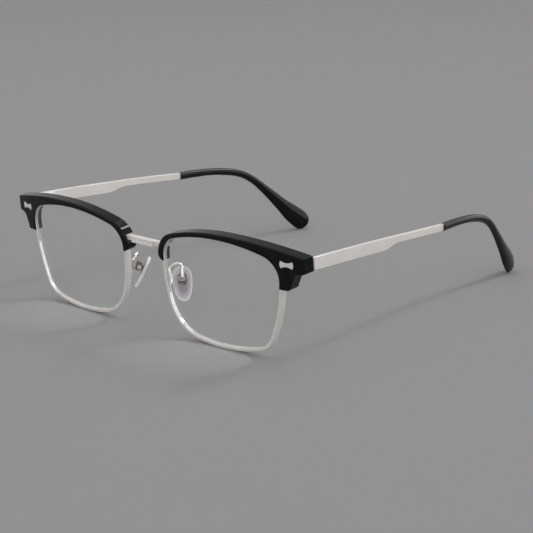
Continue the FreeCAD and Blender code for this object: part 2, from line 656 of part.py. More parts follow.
# Rivet: a bone-shaped head let into the brow, with two shanks through the brow and the hinge plate
rivet_spot = face_spot(f"{EYE_OUTER} + rivet_reach", f"{BROW_TOP} - rivet_drop")
PLATE_FRONT = "(brow_depth - plate_sink)"
PLATE_BACK = f"({PLATE_FRONT} + plate_thickness)"


def rivet_form(name, placement, fit, front_depth, back_depth):
    """The rivet, grown by a clearance."""
    end = f"(rivet_length/2 + {fit})"
    side = f"(rivet_height/2 + {fit})"
    waist_turn = f"-4*atan((rivet_height - rivet_waist)/2/{end})"
    body, head = section_body(name, placement, "XZ_Plane", [
        (f"-{end}", f"-{side}", waist_turn),
        (end, f"-{side}", "rivet_end_turn"),
        (end, side, waist_turn),
        (f"-{end}", side, "rivet_end_turn"),
    ])
    head.AttachmentOffset = Placement(Vector(0, 0, value(front_depth)), Rotation())
    pad(body, head, f"rivet_head - rivet_proud + {fit} + ({front_depth})", backward=True)
    shanks = drawing(f"{name}_shanks", None, body, "XZ_Plane")
    for way in ("-", ""):
        circle(shanks, f"{way}rivet_pitch/2", "0", f"rivet_shank + {fit}")
    pad(body, shanks, back_depth, backward=True)
    return body


rivet = rivet_form("brow_rivet_left", front * rivet_spot, "0", "rivet_proud", PLATE_BACK)
rivet_bore = rivet_form("rivet_bore", rivet_spot, "rivet_fit", "rivet_head", f"{PLATE_BACK} + rivet_fit")


def plate_block(name, fit):
    """The hinge plate, grown by a clearance, let into the brow's back."""
    low = (f"-plate_inner - {fit}", PLATE_FRONT, f"-plate_height/2 - {fit}")
    high = (f"plate_outer + {fit}", f"{PLATE_BACK} + {fit}", f"plate_height/2 + {fit}")
    return block(name, rivet_spot, low, high)


brow_cuts = fuse("brow_cuts", [
    brow_open, channel, foot_slot, lug_block("lug_pocket", "channel_fit"), screw_bore, rivet_bore,
    plate_block("plate_pocket", "plate_fit"),
])
brow = combine("Part::Cut", "brow_left", brow_bevelled, brow_cuts, front)

# Hinge: the pin stands upright behind the brow's end
pin_in_front = rivet_spot * Vector(value("hinge_out"), value("brow_depth + hinge_back"), -value("hinge_drop"))
pin_spot = front * pin_in_front
hinge = Placement(pin_spot, Rotation())
hinge_in_front = front.inverse() * hinge
temple_axes = Placement(pin_spot, Rotation(Vector(0, 0, 1), value("temple_toe")))

KNUCKLE_INNER = "(middle_knuckle/2 + knuckle_gap)"
plate_pieces = [plate_block("plate_raw", "0")]
WEB_FRONT = "(plate_sink - plate_thickness/2 - hinge_back)"
for side, low, high in (
    ("upper", KNUCKLE_INNER, "hinge_height/2"),
    ("lower", "-hinge_height/2", f"-{KNUCKLE_INNER}"),
):
    plate_pieces.append(rod(f"{side}_knuckle", hinge_in_front, "hinge_radius", low, high))
    web_low = ("-web_width/2", WEB_FRONT, low)
    plate_pieces.append(block(f"{side}_web", hinge_in_front, web_low, ("web_width/2", "0", high)))
pin_hole = rod("pin_hole", hinge_in_front, "hinge_pin", "-hinge_height", "hinge_height")
plate_cuts = fuse("plate_cuts", [rivet_bore, pin_hole])
hinge_plate = combine("Part::Cut", "hinge_plate_left", fuse("plate_whole", plate_pieces), plate_cuts, front)

hinge_screw = revolved("hinge_screw_left", hinge, [
    ("0", "-hinge_height/2"),
    ("hinge_pin", "-hinge_height/2"),
    ("hinge_pin", "hinge_height/2"),
    ("hinge_head", "hinge_height/2"),
    ("hinge_head", "hinge_height/2 + hinge_head_height"),
    ("0", "hinge_height/2 + hinge_head_height"),
])

# Temple: a flat plate, cut from its side outline and bowed inward at the rear. Its raked front edge follows
# the rear face of the brow's end.
end_rear = Vector(end_back.x, end_back.y, pin_in_front.z)
brow_rear = temple_axes.inverse() * (front * end_rear)
TEMPLE_INNER = "(temple_offset - temple_thickness)"


def sag(along):
    """How far the temple has come down at a distance behind the hinge pin."""
    return f"(({along})*tan(temple_slope) + ({along})^2/(2*temple_sag_radius))"


def sag_turn(start, end):
    """How far the temple's edge turns between two distances behind the hinge pin."""
    return f"((({end}) - ({start}))/temple_sag_radius*180/pi)"


def bowed_band(name, thickness):
    """The temple seen from above: straight, then curved inward, so thick about the plate's middle."""
    inner = f"(temple_offset - temple_thickness/2 - {thickness}/2)"
    outer = f"({inner} + {thickness})"
    centre = "(temple_offset - temple_thickness - bow_radius)"
    corners = []
    for side in (inner, outer):
        radius = f"({side} - {centre})"
        corners.append((f"{centre} + {radius}*cos(bow_turn)", f"bow_start + {radius}*sin(bow_turn)"))
    sketch = outline(drawing(f"{name}_plan", PLAN_VIEW), [
        (inner, "-stock"),
        (outer, "-stock"),
        (outer, "bow_start", "bow_turn"),
        corners[1],
        corners[0] + ("-bow_turn",),
        (inner, "bow_start"),
    ])
    return prism(name, sketch)


STEP_END = "(step_at + step_run)"
STEP_MIDDLE = "(step_at + step_run/2)"
TOP = "(temple_lift + temple_height/2)"
BOTTOM = "(temple_lift - temple_height/2)"
CORE_END = "(tip_start + core_length)"
STEP_LOW = f"({BOTTOM} - {sag('step_at')})"
STEP_HIGH = f"({TOP} - {sag(STEP_END)} - temple_slim)"
SLIM_MIDDLE = f"({TOP} - {sag('tip_start')} - temple_slim/2)"
FRONT_EDGE = f"({brow_rear.y} + temple_gap)"

temple_side = outline(drawing("temple_side", SIDE_VIEW), [
    (f"{FRONT_EDGE} - {BOTTOM}*tan(face_tilt)", BOTTOM, f"-{sag_turn('0', 'step_at')}"),
    ("step_at", STEP_LOW, "step_turn"),
    (STEP_MIDDLE, f"({STEP_LOW} + {STEP_HIGH})/2", "-step_turn"),
    (STEP_END, STEP_HIGH, f"-{sag_turn(STEP_END, 'tip_start')}"),
    ("tip_start", f"{SLIM_MIDDLE} - temple_slim/2"),
    ("tip_start", f"{SLIM_MIDDLE} - core_height/2"),
    (CORE_END, f"{SLIM_MIDDLE} - core_fall - core_height/2"),
    (CORE_END, f"{SLIM_MIDDLE} - core_fall + core_height/2"),
    ("tip_start", f"{SLIM_MIDDLE} + core_height/2"),
    ("tip_start", f"{SLIM_MIDDLE} + temple_slim/2", sag_turn("0", "tip_start")),
    (f"{FRONT_EDGE} - {TOP}*tan(face_tilt)", TOP),
])
temple_band = bowed_band("temple_band", "temple_thickness")
temple = combine("Part::Common", "temple_left", prism("temple_prism", temple_side), temple_band, temple_axes)

# Hinge leaf on the temple's inner side, with the middle knuckle
leaf_low = (f"{TEMPLE_INNER} - leaf_thickness", "leaf_start", "-leaf_height/2")
leaf_high = (TEMPLE_INNER, "leaf_start + leaf_length", "leaf_height/2")
neck_low = ("0", "-web_width/2", "-middle_knuckle/2")
neck_high = (TEMPLE_INNER, "neck_length", "middle_knuckle/2")
middle_rod = rod("middle_rod", Placement(), "hinge_radius", "-middle_knuckle/2", "middle_knuckle/2")
leaf_raw = block("leaf_raw", Placement(), leaf_low, leaf_high)
neck = block("neck", Placement(), neck_low, neck_high)
leaf_whole = fuse("leaf_whole", [leaf_raw, neck, middle_rod])
running_hole = rod("running_hole", Placement(), "hinge_pin + hinge_pin_fit", "-hinge_height", "hinge_height")
hinge_leaf = combine("Part::Cut", "hinge_leaf_left", leaf_whole, running_hole, temple_axes)

# Temple tip: its side outline, bowed with the temple and moulded round the temple's core
TABLE = f"(-{pin_spot.z})"
TIP_TOP = f"({SLIM_MIDDLE} + tip_height/2)"
tip_side = outline(drawing("tip_side", SIDE_VIEW), rounded([
    ("tip_start", f"{SLIM_MIDDLE} - tip_height/2"),
    ("(bend_at - crook_ahead)", "(-bend_sag - crook_drop)", "crook_run"),
    ("(paddle_end - paddle_length)", TABLE, "paddle_fore_run"),
    ("paddle_end", TABLE, "paddle_end_run"),
    ("paddle_end", f"({TABLE} + paddle_rise)", "paddle_top_run"),
    ("bend_at", "(-bend_sag)", "bend_run"),
    ("((tip_start + bend_at)/2)", f"({TIP_TOP} - back_fall)", "back_run*(bend_at - tip_start)"),
    ("tip_start", TIP_TOP),
]))
tip_band = bowed_band("tip_band", "tip_thickness")
tip_raw = combine("Part::Common", "tip_raw", prism("tip_prism", tip_side), tip_band)


def is_long_edge(edge):
    """Whether an edge of the tip runs along its outline, not through its thickness or across its front."""
    first, last = (corner.Point for corner in edge.Vertexes)
    through = math.hypot(last.y - first.y, last.z - first.z) < TOUCHING
    return not through and max(first.y, last.y) > value("tip_start") + TOUCHING


tip_blank = bevelled("tip_blank", tip_raw, "tip_edge", is_long_edge)
temple_inside = combine("Part::Common", "temple_inside", temple.Base, temple_band)
tip = combine("Part::Cut", "temple_tip_left", tip_blank, temple_inside, temple_axes)

# Nose pad: X across the pad, Y up along it and Z toward the nose
pad_turn = (
    Rotation(Vector(0, 0, 1), -value("pad_splay"))
    * Rotation(Vector(0, 1, 0), -value("pad_frontal"))
    * Rotation(Vector(0, -1, 0), Vector(0, 0, 1), Vector(-1, 0, 0), "XYZ")
)
pad_middle = Vector(value("pad_out"), value("pad_back"), value("eye_height - pad_level"))
pad_spot = Placement(pad_middle, pad_turn)
box_spot = pad_spot * Placement(Vector(0, value("pivot_rise"), 0), Rotation())
pivot_spot = box_spot * Placement(Vector(0, 0, -value("pivot_back")), Rotation(Vector(0, 1, 0), 90))

pad_body, pad_sketch = section_body("pad_body", pad_spot, "XY_Plane", [
    ("pad_width/2", "pad_widest", "pad_top_turn"),
    ("-pad_width/2", "pad_widest", "pad_side_turn"),
    ("-pad_foot_width/2", "-pad_foot", "pad_foot_turn"),
    ("pad_foot_width/2", "-pad_foot", "pad_side_turn"),
])
pad_plate = pad(pad_body, pad_sketch, "pad_thickness", "Symmetric")
pad_bevel = pad_body.newObject("PartDesign::Chamfer", "pad_bevel")
pad_bevel.Base = (pad_plate, ["Face1", "Face2"])
pad_bevel.setExpression("Size", spelled("pad_edge"))

insert_body, insert_sketch = section_body("insert_body", box_spot, "XY_Plane", [
    ("insert_width/2", "-insert_length/2 + insert_width/2"),
    ("insert_width/2", "insert_length/2 - insert_width/2", "insert_turn"),
    ("-insert_width/2", "insert_length/2 - insert_width/2"),
    ("-insert_width/2", "-insert_length/2 + insert_width/2", "insert_turn"),
])
pad(insert_body, insert_sketch, "insert_thickness", "Symmetric")
tab_low = ("-tab_width/2", "-tab_radius", "-pivot_back")
tab = block("tab", box_spot, tab_low, ("tab_width/2", "tab_radius", "0"))
tab_end = rod("tab_end", pivot_spot, "tab_radius", "-tab_width/2", "tab_width/2")
insert_whole = fuse("insert_whole", [insert_body, tab, tab_end])
tab_hole = rod("tab_hole", pivot_spot, "pad_screw_radius + pad_screw_fit", "-tab_width", "tab_width")
insert = combine("Part::Cut", "pad_insert_left", insert_whole, tab_hole, front)
nose_pad = combine("Part::Cut", "nose_pad_left", pad_body, insert_whole, front)

# Pad box: two cheeks and a back round the tab
CHEEK = "(tab_width/2 + box_gap)"
BOX_SIDE = f"({CHEEK} + box_wall)"
box_high = "-pivot_back + box_front"
box_low = "-pivot_back - box_back"
box_corner = (f"-{BOX_SIDE}", "-box_height/2", box_low)
box_whole = block("box_whole", box_spot, box_corner, (BOX_SIDE, "box_height/2", box_high))
slot_corner = (f"-{CHEEK}", "-box_height", f"{box_low} + box_wall")
box_slot = block("box_slot", box_spot, slot_corner, (CHEEK, "box_height", "box_height"))
box_hole = rod("box_hole", pivot_spot, "pad_screw_radius", "-box_height", "box_height")
box_cuts = fuse("box_cuts", [box_slot, box_hole])
pad_box = combine("Part::Cut", "pad_box_left", box_whole, box_cuts, front)
pad_screw = revolved("pad_screw_left", front * pivot_spot, [
    ("0", f"-{BOX_SIDE}"),
    ("pad_screw_radius", f"-{BOX_SIDE}"),
    ("pad_screw_radius", BOX_SIDE),
    ("pad_screw_head", BOX_SIDE),
    ("pad_screw_head", f"{BOX_SIDE} + pad_screw_head_height"),
    ("0", f"{BOX_SIDE} + pad_screw_head_height"),
])

# Pad arm: a wire from the eyewire's back, up, over and down to the box, in one leaning plane
ARM_Z = "(eye_height - arm_level)"
arm_level_line = Part.makeLine(Vector(0, 0, value(ARM_Z)), Vector(value(EYE_MIDDLE), 0, value(ARM_Z)))
edge_at_arm = eye_whole.Base.Shape.section(arm_level_line).Vertexes[0].X
ARM_X = f"({edge_at_arm} + arm_out)"
arm_foot = Vector(value(ARM_X), value(depth_at(ARM_X, RIM_BACK)), value(ARM_Z))
arm_end = box_spot * Vector(0, 0, value(f"{box_low} - arm_seat"))
arm_run = arm_end - arm_foot
arm_upright = Rotation(arm_run, Vector(), Vector(0, 0, 1), "XZY")
arm_turn = arm_upright * Rotation(Vector(1, 0, 0), -value("arm_lean"))
arm_spot = Placement(arm_foot, arm_turn) * FRONT_VIEW
arm_line = outline(drawing("arm_line", arm_spot), rounded([
    ("-rim_depth/2", "0"),
    ("arm_foot", "0", "arm_bend"),
    ("loop_front", "loop_front_height", "loop_run"),
    ("loop_rear", "loop_rear_height", "loop_run"),
    (f"{arm_run.Length}", "0"),
]), closed=False)
arm_section = add("Part::Circle", "arm_section", Radius="arm_radius")
arm_start = Vector(-value("rim_depth/2"), 0, 0)
arm_section.Placement = arm_spot * Placement(arm_start, Rotation(Vector(0, 1, 0), 90))
arm_wire = add("Part::Sweep", "arm_wire")
arm_wire.Sections = [arm_section]
arm_wire.Spine = (arm_line, [f"Edge{index + 1}" for index in range(arm_line.GeometryCount)])
arm_wire.Solid = True
arm_cuts = fuse("arm_cuts", [face_layer("arm_layer", "0", RIM_BACK), box_whole])
pad_arm = combine("Part::Cut", "pad_arm_left", arm_wire, arm_cuts, front)

doc.recompute()

# The left pieces, their mirror images and the bridge
left_pieces = [
    brow, rivet, eyewire, brow_screw, lens, hinge_plate, hinge_screw, temple, hinge_leaf, tip,
    nose_pad, insert, pad_box, pad_screw, pad_arm,
]
right_pieces = [mirrored(piece.Name.replace("_left", "_right"), piece) for piece in left_pieces]
doc.recompute()

for item in doc.Objects:
    if {"Invalid", "Error"} & set(item.State):
        raise RuntimeError(f"{item.Name} failed: {item.State}")
pieces = left_pieces + right_pieces + [bridge]
for piece in pieces:
    piece.Label = piece.Name
    if piece.Shape.isNull() or not piece.Shape.isValid() or not piece.Shape.Solids:
        raise RuntimeError(f"{piece.Label} has no valid solid")

os.makedirs("parts", exist_ok=True)
for piece in pieces:
    piece.Shape.exportStep(f"parts/{piece.Label}.step")
whole = Part.makeCompound([piece.Shape for piece in pieces]).BoundBox
print("left hinge pin", pin_spot, "box", whole)
print("left pad pivot", front * pivot_spot)
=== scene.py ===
"""Browline glasses: finishes, temple tips, nose pads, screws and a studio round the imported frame.

The file is laid out as an add-on and is run as a script. Lengths are in metres unless a name ends in _mm.
"""

import json
import math

import bmesh
import bpy
import numpy as np
from mathutils import Matrix, Vector
from mathutils.geometry import convex_hull_2d

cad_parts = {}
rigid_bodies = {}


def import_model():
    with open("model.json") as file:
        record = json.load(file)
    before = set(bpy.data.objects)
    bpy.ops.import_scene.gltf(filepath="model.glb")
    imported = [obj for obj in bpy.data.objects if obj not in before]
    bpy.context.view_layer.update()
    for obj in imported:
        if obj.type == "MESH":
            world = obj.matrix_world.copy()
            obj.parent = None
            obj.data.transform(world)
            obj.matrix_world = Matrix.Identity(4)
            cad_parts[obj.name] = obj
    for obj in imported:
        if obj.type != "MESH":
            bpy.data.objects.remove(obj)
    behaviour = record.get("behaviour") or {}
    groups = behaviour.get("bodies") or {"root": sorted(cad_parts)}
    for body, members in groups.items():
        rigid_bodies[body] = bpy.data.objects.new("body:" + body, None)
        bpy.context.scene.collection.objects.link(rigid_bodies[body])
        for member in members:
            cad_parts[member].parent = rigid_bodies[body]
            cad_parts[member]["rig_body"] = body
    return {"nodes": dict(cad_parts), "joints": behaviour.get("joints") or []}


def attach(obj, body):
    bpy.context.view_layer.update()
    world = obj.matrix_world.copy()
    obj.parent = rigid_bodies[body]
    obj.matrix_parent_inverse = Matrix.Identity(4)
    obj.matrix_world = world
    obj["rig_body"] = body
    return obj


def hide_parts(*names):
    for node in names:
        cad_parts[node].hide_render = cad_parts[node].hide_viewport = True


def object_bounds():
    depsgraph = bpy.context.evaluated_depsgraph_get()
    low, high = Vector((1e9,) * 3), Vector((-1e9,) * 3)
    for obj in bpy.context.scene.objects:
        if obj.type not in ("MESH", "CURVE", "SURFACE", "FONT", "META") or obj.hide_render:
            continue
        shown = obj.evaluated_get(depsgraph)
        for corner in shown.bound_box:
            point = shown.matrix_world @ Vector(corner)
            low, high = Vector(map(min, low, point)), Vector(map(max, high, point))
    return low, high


bl_info = {
    "name": "Browline glasses",
    "version": (1, 0, 0),
    "blender": (4, 5, 0),
    "location": "3D View > Sidebar > Browline",
    "description": "Finishes, tips, nose pads, screws and a studio for a pair of browline glasses",
    "category": "Object",
}

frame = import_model()
CAD_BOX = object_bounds()

MM = 0.001
SIDES = ("left", "right")

# Attribute of a nose pad: 0 in its middle and 1 along its edge
EDGE_SHARE = "edge_share"


class Field:
    """A shader socket that works in Python expressions. Each operator adds one Math node."""

    def __init__(self, shader, socket):
        self.shader = shader
        self.socket = socket

    def maths(self, operation, *values):
        """One Math node on these values, which are numbers or other fields."""
        return self.shader.node("Math", {"operation": operation}, dict(enumerate(values)))

    def __add__(self, other):
        return self.maths("ADD", self, other)

    __radd__ = __add__

    def __sub__(self, other):
        return self.maths("SUBTRACT", self, other)

    def __rsub__(self, other):
        return self.maths("SUBTRACT", other, self)

    def __mul__(self, other):
        return self.maths("MULTIPLY", self, other)

    __rmul__ = __mul__

    def between(self, low, high):
        """Runs from 0 to 1 as this runs from low to high, smoothly and no further."""
        settings = {"interpolation_type": "SMOOTHSTEP"}
        return self.shader.node("MapRange", settings, {"Value": self, "From Min": low, "From Max": high})


class Shader:
    """A node tree of a material or of the world."""

    def __init__(self, tree):
        self.tree = tree
        self.tree.nodes.clear()

    def node(self, kind, settings=None, sockets=None, output=0):
        """Adds a node, gives it its settings and then its sockets, and returns one of its outputs."""
        made = self.tree.nodes.new(f"ShaderNode{kind}")
        for name, value in (settings or {}).items():
            setattr(made, name, value)
        for name, value in (sockets or {}).items():
            if isinstance(value, Field):
                self.tree.links.new(value.socket, made.inputs[name])
            else:
                made.inputs[name].default_value = value
        return Field(self, made.outputs[output])

    def spot_mm(self, stretch=(1.0, 1.0, 1.0)):
        """Where a point of the piece is, in millimetres, with each axis stretched."""
        place = self.node("TexCoord", output="Object")
        scale = tuple(share / MM for share in stretch)
        return self.node("VectorMath", {"operation": "MULTIPLY"}, {0: place, 1: scale})

    def noise(self, spot, scale, detail=2.0, roughness=0.5):
        """Cloudy noise between 0 and 1, so many clouds to the unit."""
        sockets = {"Vector": spot, "Scale": scale, "Detail": detail, "Roughness": roughness}
        return self.node("TexNoise", None, sockets)

    def specks(self, spot, scale, size):
        """Small round specks, 1 in the middle and 0 outside, so many to the unit."""
        distance = self.node("TexVoronoi", None, {"Vector": spot, "Scale": scale})
        return 1 - distance.between(0.4 * size, size)

    def dot(self, first, second):
        """How far one direction runs along another."""
        return self.node("VectorMath", {"operation": "DOT_PRODUCT"}, {0: first, 1: second}, output="Value")

    def blend(self, share, first, second):
        """A colour between two others."""
        return self.node("Mix", {"data_type": "RGBA"}, {0: share, 6: first, 7: second}, output=2)

    def eased_normal(self, radius):
        """The normal, turned at edges as if they were rounded."""
        return self.node("Bevel", {"samples": 6}, {"Radius": radius})

    def edge_share(self, eased):
        """How near an edge a point lies, from 0 on a face to 1 on the edge."""
        normal = self.node("NewGeometry", output="Normal")
        return (1 - self.dot(eased, normal)).between(0.005, 0.2)

    def bump(self, height, distance, strength=1.0, normal=None):
        """The normal of a surface that stands up by a height from 0 to 1, times a distance."""
        sockets = {"Height": height, "Distance": distance, "Strength": strength}
        if normal:
            sockets["Normal"] = normal
        return self.node("Bump", None, sockets)

    def finish(self, kind, sockets, output="OutputMaterial"):
        """Ends the tree with a shader of this kind."""
        surface = self.node(kind, None, sockets)
        end = self.tree.nodes.new(f"ShaderNode{output}")
        self.tree.links.new(surface.socket, end.inputs["Surface"])


def new_material(name):
    """An empty material and its shader."""
    material = bpy.data.materials.new(name)
    material.use_nodes = True
    return material, Shader(material.node_tree)


def opaque(colour):
    """A colour with full alpha."""
    return (*colour, 1.0)


def acetate_finish(look, name, rounding):
    """Polished black acetate: a deep colour, hand-polishing haze, hairlines and a little dust."""
    material, shader = new_material(name)
    spot = shader.spot_mm()
    depth = shader.noise(spot, 0.35, 3.0)
    haze = shader.noise(spot, 0.9, 4.0, 0.6)
    hairs = shader.noise(shader.spot_mm((0.4, 0.25, 6.0)), 1.0, 3.0, 0.7).between(0.62, 0.7)
    dust = shader.specks(spot, 0.8, 0.07)
    eased = shader.eased_normal(rounding)
    edge = shader.edge_share(eased)
    light = tuple(2.2 * share + 0.002 for share in look.acetate_colour)
    deep = shader.blend(depth.between(0.35, 0.75), opaque(look.acetate_colour), opaque(light))
    colour = shader.blend(dust * 0.25, deep, opaque((0.12, 0.115, 0.11)))
    shader.finish("BsdfPrincipled", {
        "Base Color": colour,
        "Roughness": 0.05 + 0.05 * haze + 0.05 * hairs + 0.12 * dust + 0.04 * edge,
        "Normal": shader.bump(haze + 0.35 * hairs, 0.006 * MM, 1.0, eased),
        "IOR": 1.49,
        "Specular IOR Level": look.acetate_gloss,
    })
    return material


def satin_finish(look, name, grain):
    """Satin metal with fine brushing along one direction, smoother and more mirror-like on its edges, where
    a lighter colour is a painted highlight.
    """
    material, shader = new_material(name)
    spot = shader.spot_mm()
    brushed = shader.noise(shader.spot_mm(grain), 1.0, 3.0, 0.65)
    cloud = shader.noise(spot, 0.22, 3.0)
    pits = shader.specks(spot, 1.6, 0.08)
    eased = shader.eased_normal(look.metal_edge)
    edge = shader.edge_share(eased)
    dull = tuple(0.95 * share for share in look.metal_colour)
    body = shader.blend(cloud.between(0.3, 0.75), opaque(dull), opaque(look.metal_colour))
    # Painted highlight: a lighter colour along the edges.
    edge_highlight_colour = tuple(min(1.0, 1.04 * share) for share in look.metal_colour)
    shader.finish("BsdfPrincipled", {
        "Base Color": shader.blend(edge, body, opaque(edge_highlight_colour)),
        "Metallic": look.metal_share + 0.15 * edge,
        "Roughness": look.metal_roughness + 0.06 * brushed + 0.04 * cloud + 0.1 * pits - 0.15 * edge,
        "Normal": shader.bump(brushed - 0.6 * pits, 0.001 * MM, 0.8, eased),
    })
    return material


def polished_finish(look):
    """Bright polished metal with faint polishing swirls."""
    material, shader = new_material("polished_metal")
    spot = shader.spot_mm()
    swirl = shader.noise(spot, 2.5, 4.0, 0.7)
    cloud = shader.noise(spot, 0.5, 2.0)
    eased = shader.eased_normal(look.metal_edge)
    edge = shader.edge_share(eased)
    dull = tuple(0.9 * share for share in look.polish_colour)
    shader.finish("BsdfPrincipled", {
        "Base Color": shader.blend(cloud, opaque(look.polish_colour), opaque(dull)),
        "Metallic": 1.0,
        "Roughness": 0.14 + 0.1 * swirl + 0.04 * edge,
        "Normal": shader.bump(swirl, 0.001 * MM, 0.6, eased),
    })
    return material


def stamped_finish(look):
    """Stamped metal of the pads' boxes and cores, dull in the middle, with painted shade that darkens it
    along its edges.
    """
    material, shader = new_material("stamped_pad_metal")
    spot = shader.spot_mm()
    pressed = shader.noise(spot, 3.0, 3.0, 0.6)
    eased = shader.eased_normal(1.5 * look.metal_edge)
    edge = shader.edge_share(eased)
    dull = tuple(0.6 * share for share in look.core_colour)
    # Painted shade: a much darker colour along the edges.
    dark = tuple(0.15 * share for share in look.core_colour)
    body = shader.blend(pressed.between(0.35, 0.7), opaque(dull), opaque(look.core_colour))
    shader.finish("BsdfPrincipled", {
        "Base Color": shader.blend(edge, body, opaque(dark)),
        "Metallic": 1.0,
        "Roughness": 0.2 + 0.15 * pressed,
        "Normal": shader.bump(pressed, 0.02 * MM, 0.8, eased),
    })
    return material


def screw_finish(look):
    """Turned screw metal, a little darker where the screwdriver has worn it."""
    material, shader = new_material("turned_screw_metal")
    spot = shader.spot_mm()
    turned = shader.noise(spot, 6.0, 3.0, 0.6)
    grime = shader.noise(spot, 1.4, 3.0).between(0.45, 0.8)
    eased = shader.eased_normal(0.5 * look.metal_edge)
    dark = tuple(0.55 * share for share in look.metal_colour)
    shader.finish("BsdfPrincipled", {
        "Base Color": shader.blend(0.5 * grime, opaque(look.metal_colour), opaque(dark)),
        "Metallic": 1.0,
        "Roughness": 0.2 + 0.15 * turned + 0.12 * grime,
        "Normal": shader.bump(turned, 0.006 * MM, 0.7, eased),
    })
    return material


def lens_finish(look):
    """Clear lens with faint wiping smears."""
    material, shader = new_material("clear_lens")
    smear = shader.noise(shader.spot_mm((0.12, 0.12, 0.05)), 1.0, 4.0, 0.6).between(0.5, 0.8)
    shader.finish("BsdfPrincipled", {
        "Base Color": opaque(look.lens_colour),
        "Roughness": 0.015 * smear,
        "IOR": 1.5,
        "Transmission Weight": 1.0,
    })
    return material


def silicone_finish(look):
    """Clear silicone with a satin skin, milky toward its edge where one looks through more of it, where the
    white mixed in is partly painted light for the light that the pad carries to its edge; its middle is
    painted darker, standing for the core seen through it.
    """
    material, shader = new_material("clear_silicone")
    spot = shader.spot_mm()
    skin = shader.noise(spot, 1.2, 4.0, 0.6)
    fine = shader.noise(spot, 8.0, 2.0)
    normal = shader.bump(skin + 0.2 * fine, 0.01 * MM)
    share = shader.node("Attribute", {"attribute_name": EDGE_SHARE}, output="Fac")
    # Painted: the clear silicone's middle is darker, standing for the core seen through it.
    thick = tuple(0.75 * part for part in look.silicone_colour)
    clear = shader.node("BsdfPrincipled", None, {
        "Base Color": shader.blend(share.between(0.0, 0.02), opaque(thick), opaque(look.silicone_colour)),
        "Roughness": 0.02 + 0.05 * skin,
        "Normal": normal,
        "IOR": 1.41,
        "Transmission Weight": 1.0,
    })
    # Painted light: white mixed in along the pad's edge stands for the light that the silicone carries
    # there, besides its milky look.
    milky = shader.node("BsdfPrincipled", None, {
        "Base Color": opaque(look.milk_and_edge_light_colour),
        "Roughness": 0.25 + 0.1 * skin,
        "Normal": normal,
    })
    shader.finish("MixShader", {0: look.edge_milk_and_light * share, 1: clear, 2: milky})
    return material


def paint(material, *pieces):
    """Gives a finish to CAD nodes on both sides, or to one by its full name."""
    for piece in pieces:
        names = [piece] if piece in frame["nodes"] else [f"{piece}_{side}" for side in SIDES]
        for name in names:
            data = frame["nodes"][name].data
            data.materials.clear()
            data.materials.append(material)


def node_points(name):
    """The vertices of a CAD node."""
    return np.array([corner.co for corner in frame["nodes"][name].data.vertices], float)


def new_piece(name, mesh_data, material, node):
    """A piece that stands for a CAD node and moves with its body."""
    mesh = bpy.data.meshes.new(name)
    mesh_data.to_mesh(mesh)
    mesh_data.free()
    mesh.materials.append(material)
    piece = bpy.data.objects.new(name, mesh)
    bpy.context.scene.collection.objects.link(piece)
    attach(piece, frame["nodes"][node]["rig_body"])
    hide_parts(node)
    return piece


def smooth(piece, angle):
    """Smooth shading, with edges sharper than an angle left sharp."""
    piece.data.shade_smooth()
    piece.data.set_sharp_from_angle(angle=angle)


def turned_form(profile, count):
    """A mesh turned about Z from (radius, height) pairs that start and end on the axis."""
    form = bmesh.new()
    low = form.verts.new((0.0, 0.0, profile[0][1]))
    high = form.verts.new((0.0, 0.0, profile[-1][1]))
    rings = []
    for radius, height in profile[1:-1]:
        turns = [2 * math.pi * step / count for step in range(count)]
        rings.append([form.verts.new((radius * math.cos(t), radius * math.sin(t), height)) for t in turns])
    for step in range(count):
        after = (step + 1) % count
        form.faces.new((low, rings[0][after], rings[0][step]))
        form.faces.new((high, rings[-1][step], rings[-1][after]))
        for under, over in zip(rings, rings[1:]):
            form.faces.new((under[step], under[after], over[after], over[step]))
    return form


